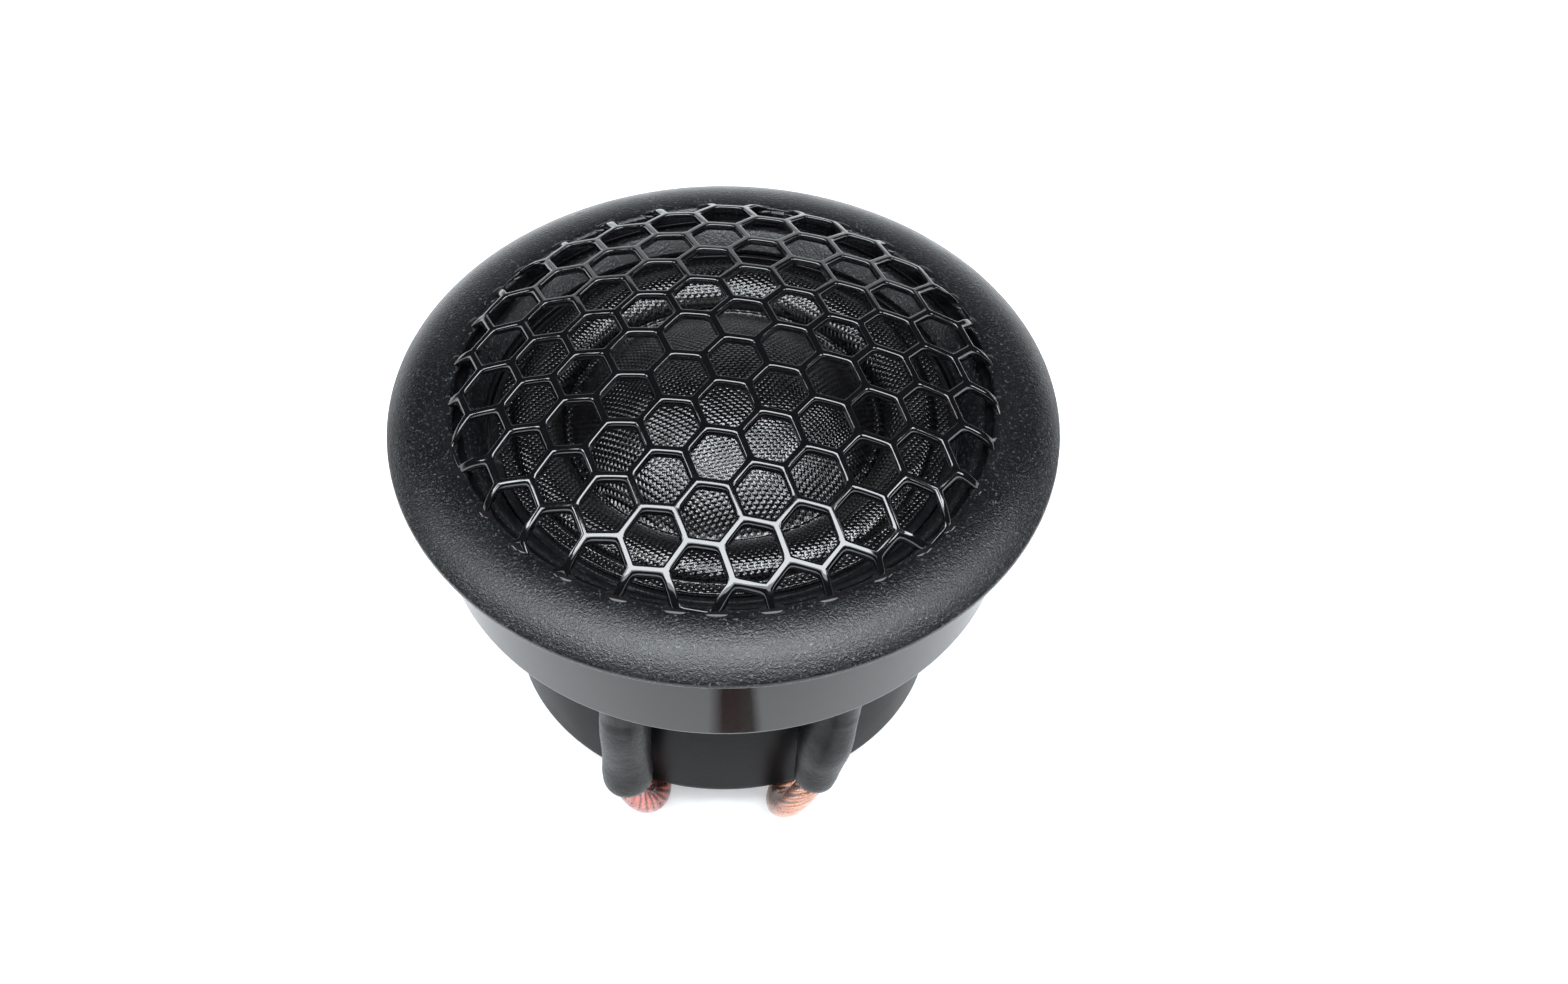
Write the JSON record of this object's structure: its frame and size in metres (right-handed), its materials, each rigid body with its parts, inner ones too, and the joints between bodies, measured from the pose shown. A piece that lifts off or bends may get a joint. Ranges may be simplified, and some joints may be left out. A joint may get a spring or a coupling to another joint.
{
  "type": "car tweeter",
  "caption": "Flush-mount car tweeter: a woven dome behind a domed honeycomb guard in a satin bezel, with a flanged housing, rear can and clear flying leads.",
  "frame": {"origin": "middle of the rear cap's flat underside, on the surface that the tweeter stands on", "axes": "+Z along the tweeter's axis towards the dome; the leads leave their sleeves on the -Y side and are coiled on the +Y side"},
  "size_m": [0.058, 0.0739, 0.0417],
  "materials": {
    "bezel_satin": "fine-grained satin black",
    "gloss_black": "polished black",
    "matte_black": "plain moulded black",
    "painted_black": "satin black coating",
    "woven_cloth": "coated black weave",
    "aluminium_foil": "bare rolled foil",
    "copper_wire": "enamelled copper wire",
    "plain_steel": "zinc-plated steel",
    "nickel_plate": "nickel-plated",
    "grey_felt": "pressed felt",
    "grey_foam": "open-cell foam",
    "brass_sheet": "stamped brass",
    "heat_shrink": "satin shrunk polyolefin",
    "clear_red_jacket": "clear flexible jacket with a red line over copper strands",
    "clear_jacket": "clear flexible jacket over copper strands",
    "tinned_strands": "tinned copper strands"
  },
  "bodies": {
    "tweeter_body": {"bezel_ring": "bezel_satin", "honeycomb_grille": "gloss_black", "housing": "gloss_black", "diaphragm_ring": "gloss_black", "rear_cap": "matte_black", "terminal_bush_left": "matte_black", "terminal_bush_right": "matte_black", "yoke_cup": "painted_black", "rear_can": "painted_black", "surround": "woven_cloth", "coil_lead_left": "copper_wire", "coil_lead_right": "copper_wire", "top_plate": "plain_steel", "pole_plate": "plain_steel", "motor_screw_1": "plain_steel", "motor_screw_2": "plain_steel", "motor_screw_3": "plain_steel", "magnet": "nickel_plate", "pole_felt": "grey_felt", "rear_foam": "grey_foam", "terminal_lug_left": "brass_sheet", "terminal_lug_right": "brass_sheet", "heat_shrink_left": "heat_shrink", "heat_shrink_right": "heat_shrink", "lead_positive": "clear_red_jacket", "lead_positive_coil": "clear_red_jacket", "lead_positive_tail": "clear_red_jacket", "lead_negative": "clear_jacket", "lead_negative_coil": "clear_jacket", "lead_negative_tail": "clear_jacket", "tinned_end_positive": "tinned_strands", "tinned_end_negative": "tinned_strands"},
    "moving_coil": {"fabric_dome": "woven_cloth", "voice_coil_former": "aluminium_foil", "voice_coil_winding": "copper_wire"}
  },
  "joints": [
    {"name": "dome_travel", "type": "slide", "parent": "tweeter_body", "child": "moving_coil", "axis": [0, 0, 1], "range_m": [-0.0004, 0.0004], "stiffness_N_per_m": 1500, "deforming": ["surround"]}
  ]
}
